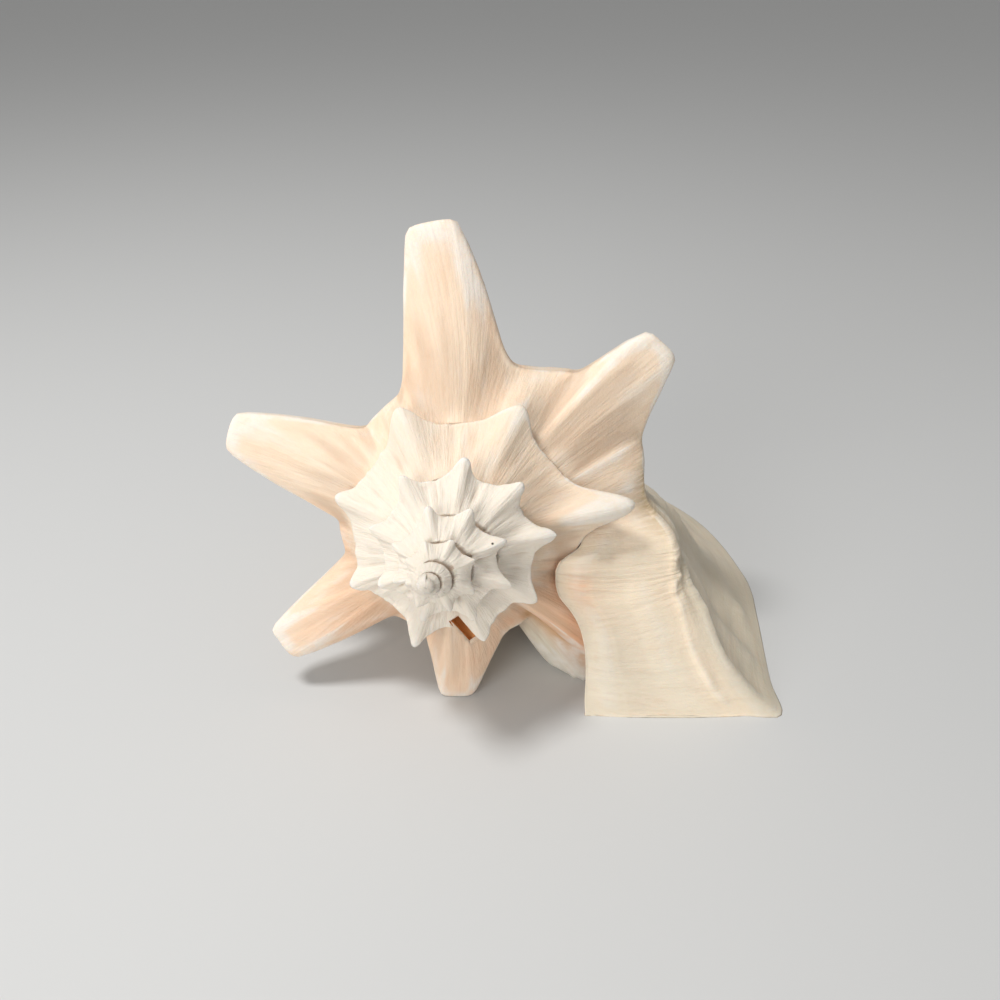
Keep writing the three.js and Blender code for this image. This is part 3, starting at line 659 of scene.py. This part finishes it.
def tint(share, under, over, blend="MIX"):
    made = node("ShaderNodeMix", data_type="RGBA", blend_type=blend)
    for key, value in ((0, share), (6, under), (7, over)):
        if isinstance(value, bpy.types.NodeSocket):
            tree.links.new(value, made.inputs[key])
        else:
            made.inputs[key].default_value = value
    return made.outputs[2]


def streaks(along, across, scale, detail=4.0, seed=0.0):
    """Noise drawn out along the growth lines: along and across stretch it by angle and by row."""
    stretched = {0: maths("MULTIPLY", growth_at, along), 1: maths("MULTIPLY", row_at, across), 2: seed}
    at = node("ShaderNodeCombineXYZ", stretched).outputs[0]
    drawn = {"Vector": at, "Scale": scale, "Detail": detail, "Roughness": 0.6}
    return node("ShaderNodeTexNoise", drawn).outputs[0]


growth_at, row_at = attribute("growth"), attribute("row")
place_at = node("ShaderNodeTexCoord").outputs["Object"]
broad = node("ShaderNodeTexNoise", {"Vector": place_at, "Scale": 26.0, "Detail": 3.0}).outputs[0]
mottled = {"Vector": place_at, "Scale": 130.0, "Detail": 5.0, "Roughness": 0.62}
mottle = node("ShaderNodeTexNoise", mottled).outputs[0]
grain = node("ShaderNodeTexNoise", {"Vector": place_at, "Scale": 900.0, "Detail": 3.0}).outputs[0]
bands = streaks(0.16, 2.0, 1.0, 5.0, 3.0)
lines = streaks(0.75, 3.0, 1.0, 4.0, 9.0)

CHALK, CREAM, PEACH = (0.82, 0.74, 0.63, 1), (0.86, 0.69, 0.52, 1), (0.80, 0.45, 0.26, 1)
SHADE_TAN, GREY = (0.50, 0.38, 0.22, 1), (0.64, 0.57, 0.44, 1)
LIP_CREAM, STREAK, CREVICE_SHADE = (0.86, 0.74, 0.565, 1), (0.66, 0.45, 0.28, 1), (0.45, 0.3, 0.19, 1)
GLAZE_DEEP, GLAZE_PALE, PIT_SHADE = (0.80, 0.45, 0.24, 1), (0.86, 0.62, 0.42, 1), (0.03, 0.02, 0.015, 1)
WHITE, BONE, STAIN_AND_SHADE = (0.86, 0.83, 0.77, 1), (0.74, 0.68, 0.55, 1), (0.52, 0.27, 0.10, 1)
young = between(growth_at, -470.0, -300.0)
free_lip = between(growth_at, 84.0, 100.0)
colour = tint(young, CHALK, CREAM)
colour = tint(maths("MULTIPLY", free_lip, 0.7), colour, LIP_CREAM)
blush = maths("MULTIPLY", attribute("peach"), between(broad, 0.3, 0.6, 0.35, 1.0))
blush = maths("ADD", blush, maths("MULTIPLY", between(bands, 0.5, 0.72), maths("MULTIPLY", young, 0.34)))
# Painted shade: the broad hollows of the last turns are tinted towards peach
hollow_shade = maths("MULTIPLY", between(attribute("broad_hollow"), 0.15, 1.0), maths("MULTIPLY", young, 0.2))
blush = maths("ADD", blush, hollow_shade)
plain = maths("MULTIPLY", between(free_lip, 0.0, 1.0, 1.0, 0.3), between(row_at, 1.02, 1.12, 1.0, 0.35))
# Peach over the blushes, with the painted shade of the broad hollows among them
colour = tint(maths("MULTIPLY", blush, maths("MULTIPLY", plain, 0.72), clamp=True), colour, PEACH)
# The flushes, partly painted shade by the oldest body spine under the lip's margin, streaked along growth
# lines
colour = tint(maths("MULTIPLY", attribute("flush_and_shade"), between(lines, 0.25, 0.7, 0.45, 1.0)), colour, PEACH)
colour = tint(maths("MULTIPLY", attribute("bone"), 0.9, clamp=True), colour, BONE)
# Painted shade under the lip's free margin and the brown patch on the spire, streaked along growth lines
stained_and_shaded = maths("MULTIPLY", attribute("stain_and_shade"), between(lines, 0.2, 0.7, 0.6, 1.0), clamp=True)
colour = tint(stained_and_shaded, colour, STAIN_AND_SHADE)
pale = maths("MULTIPLY", between(bands, 0.5, 0.3), maths("MULTIPLY", maths("MULTIPLY", young, plain), 0.28))
colour = tint(pale, colour, WHITE)
# The painted tan shade, streaked along the growth lines, then the grey of the flank
shade_tanned = maths("MULTIPLY", attribute("shade_tan"), between(lines, 0.3, 0.62, 0.25, 1.0), clamp=True)
greyed = maths("MULTIPLY", attribute("grey"), between(broad, 0.25, 0.7, 0.45, 0.85), clamp=True)
colour = tint(greyed, tint(shade_tanned, colour, SHADE_TAN), GREY)
fine_streak = maths("MULTIPLY", between(lines, 0.5, 0.75), between(mottle, 0.35, 0.6, 0.2, 0.8))
colour = tint(maths("MULTIPLY", fine_streak, between(free_lip, 0.0, 1.0, 0.22, 0.4)), colour, STREAK)
crest = between(attribute("fine_hollow"), -0.3, -1.0)
worn = maths("MULTIPLY", maths("MULTIPLY", crest, plain), between(mottle, 0.3, 0.6, 0.25, 0.9))
worn_tip = maths("MULTIPLY", between(attribute("tip"), 0.9, 1.0), between(mottle, 0.3, 0.6, 0.2, 0.9))
worn = maths("MAXIMUM", worn, worn_tip)
colour = tint(maths("MULTIPLY", worn, 0.7), colour, WHITE)
# Painted shade: the fine hollows and creases of the skin are darkened towards brown, most on the old turns
crevice_shade = between(attribute("fine_hollow"), 0.15, 1.0)
painted_crevice_shade = maths("MULTIPLY", maths("MULTIPLY", crevice_shade, plain), between(young, 0.0, 1.0, 0.75, 0.34))
colour = tint(painted_crevice_shade, colour, CREVICE_SHADE)
# Three small borings in one thorn of the spire, painted as dark spots of shade instead of cut holes: where
# they are and their radius, in metres
PITS = ((-0.0098, -0.0879, 0.088), (-0.0091, -0.0893, 0.0874), (-0.0084, -0.0935, 0.0877))
PIT_SIZE = 0.0005
for pit in PITS:
    reach = node("ShaderNodeVectorMath", {0: place_at, 1: pit}, operation="DISTANCE").outputs["Value"]
    colour = tint(between(reach, PIT_SIZE * 1.4, PIT_SIZE * 0.6), colour, PIT_SHADE)
within = attribute("inside")
glaze = tint(between(bands, 0.35, 0.65), GLAZE_DEEP, GLAZE_PALE)
colour = tint(within, colour, glaze)
tree.links.new(colour, surface.inputs["Base Color"])

roughness = between(mottle, 0.3, 0.7, 0.5, 0.7)
roughness = maths("ADD", roughness, maths("MULTIPLY", worn, 0.15))
roughness = maths("SUBTRACT", roughness, maths("MULTIPLY", within, 0.38), clamp=True)
tree.links.new(roughness, surface.inputs["Roughness"])
surface.inputs["Specular IOR Level"].default_value = 0.4
surface.inputs["Subsurface Weight"].default_value = 0.12
surface.inputs["Subsurface Radius"].default_value = (0.004, 0.0022, 0.0012)

rough_lines = maths("MULTIPLY", lines, maths("SUBTRACT", 1.0, maths("MULTIPLY", within, 0.8)))
height = maths("ADD", maths("MULTIPLY", rough_lines, 0.0007), maths("MULTIPLY", mottle, 0.0006))
height = maths("ADD", height, maths("MULTIPLY", grain, 0.00012))
bump = node("ShaderNodeBump", {"Height": height, "Strength": 0.6, "Distance": 1.0})
tree.links.new(bump.outputs[0], surface.inputs["Normal"])
shell_mesh.materials.append(conch)

# The slot: sawn through the wall of the spire to free the animal, a blind cut whose walls have
# stayed the raw orange brown of the inner layers. It is cut out of the shell itself.
SLOT_MIDDLE, SLOT_SIZE = Vector((-13.5, 2.2, 41.6)), (11.6, 4.4, 31.0)
SLOT_DIP, SLOT_SLANT = math.radians(32), math.radians(37.2)
SLOT_INWARD = Vector((0, math.cos(SLOT_DIP), -math.sin(SLOT_DIP)))
SLOT_LENGTH = Vector((0, -math.sin(SLOT_DIP), -math.cos(SLOT_DIP))) * math.cos(SLOT_SLANT)
SLOT_LENGTH += Vector((math.sin(SLOT_SLANT), 0, 0))
slot_axes = (SLOT_LENGTH, SLOT_INWARD.cross(SLOT_LENGTH), SLOT_INWARD)
RAW_ORANGE = (0.74, 0.38, 0.14, 1)
raw_wall = bpy.data.materials.new("raw_wall")
raw_wall.use_nodes = True
raw_wall.node_tree.nodes["Principled BSDF"].inputs["Base Color"].default_value = RAW_ORANGE
raw_wall.node_tree.nodes["Principled BSDF"].inputs["Roughness"].default_value = 0.8
slot_corners = []
SLOT_CORNERS = [(x, y, z) for z in (-1, 1) for x, y in ((-1, -1), (1, -1), (1, 1), (-1, 1))]
for signs in SLOT_CORNERS:
    corner = SLOT_MIDDLE.copy()
    for sign, axis, size in zip(signs, slot_axes, SLOT_SIZE):
        corner += axis * (sign * size / 2)
    slot_corners.append((corner - Vector(CENTRE)) / 1000)
saw_mesh = bpy.data.meshes.new("saw")
saw_mesh.from_pydata(slot_corners, [], [
    (0, 3, 2, 1), (4, 5, 6, 7), (0, 1, 5, 4), (1, 2, 6, 5), (2, 3, 7, 6), (3, 0, 4, 7),
])
saw_mesh.materials.append(raw_wall)
saw = bpy.data.objects.new("saw", saw_mesh)
bpy.context.scene.collection.objects.link(saw)
cut = shell.modifiers.new("slot", "BOOLEAN")
cut.operation, cut.solver, cut.material_mode, cut.object = "DIFFERENCE", "EXACT", "TRANSFER", saw
bpy.context.view_layer.update()
shell.data = bpy.data.meshes.new_from_object(shell.evaluated_get(bpy.context.evaluated_depsgraph_get()))
shell.modifiers.clear()
bpy.data.objects.remove(saw)
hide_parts("shell")
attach(shell, "root")

# The floor: a plain pale sheet of studio paper, laid flat under the shell. It is far wider than
# the shell, so that its edges stay well away from the piece in every view.
FLOOR_HALF, PAPER_GREY = 3, (0.62, 0.62, 0.61, 1)
floor_mesh = bpy.data.meshes.new("floor")
floor_corners = [(x * FLOOR_HALF, y * FLOOR_HALF, 0) for x, y in ((-1, -1), (1, -1), (1, 1), (-1, 1))]
floor_mesh.from_pydata(floor_corners, [], [(0, 1, 2, 3)])
floor = bpy.data.objects.new("floor", floor_mesh)
bpy.context.scene.collection.objects.link(floor)
paper = bpy.data.materials.new("paper")
paper.use_nodes = True
paper.node_tree.nodes["Principled BSDF"].inputs["Base Color"].default_value = PAPER_GREY
paper.node_tree.nodes["Principled BSDF"].inputs["Roughness"].default_value = 0.8
floor_mesh.materials.append(paper)

# The light: a soft round lamp hung high to the left of the shell, a wider and weaker one behind
# the camera and to its left, and pale even air. Each lamp is turned towards the shell.
LAMP_TARGET, AIR_STRENGTH = Vector((0, 0, 0.05)), 0.36


def lamp(name, at, size, power):
    data = bpy.data.lights.new(name, "AREA")
    data.shape = "DISK"
    data.size = size
    data.energy = power
    made = bpy.data.objects.new(name, data)
    made.location = at
    made.rotation_euler = (LAMP_TARGET - Vector(at)).to_track_quat("-Z", "Y").to_euler()
    bpy.context.scene.collection.objects.link(made)


lamp("key", (-0.4, -0.2, 1.15), 0.26, 8.4)
lamp("fill", (-0.6, -1.0, 0.42), 0.7, 6.4)
world = bpy.data.worlds.new("air")
bpy.context.scene.world = world
world.use_nodes = True
world.node_tree.nodes["Background"].inputs["Color"].default_value = (1, 1, 1, 1)
world.node_tree.nodes["Background"].inputs["Strength"].default_value = AIR_STRENGTH
bpy.context.scene.view_settings.view_transform = "Standard"

# The camera: held by hand about half a metre from the shell, on the side of its apex, and tipped
# down by about a third of a right angle, as the photograph was taken.
LENS, SENSOR, CAMERA_DIP = 36, 36, 32
CAMERA_PLACE = np.array([0.0, -287.0, 279.0])
camera_data = bpy.data.cameras.new("camera")
camera_data.lens = LENS
camera_data.sensor_width = SENSOR
camera = bpy.data.objects.new("camera", camera_data)
camera.location = (CAMERA_PLACE - CENTRE) / 1000
camera.rotation_euler = (math.radians(90 - CAMERA_DIP), 0, 0)
bpy.context.scene.collection.objects.link(camera)
bpy.context.scene.camera = camera
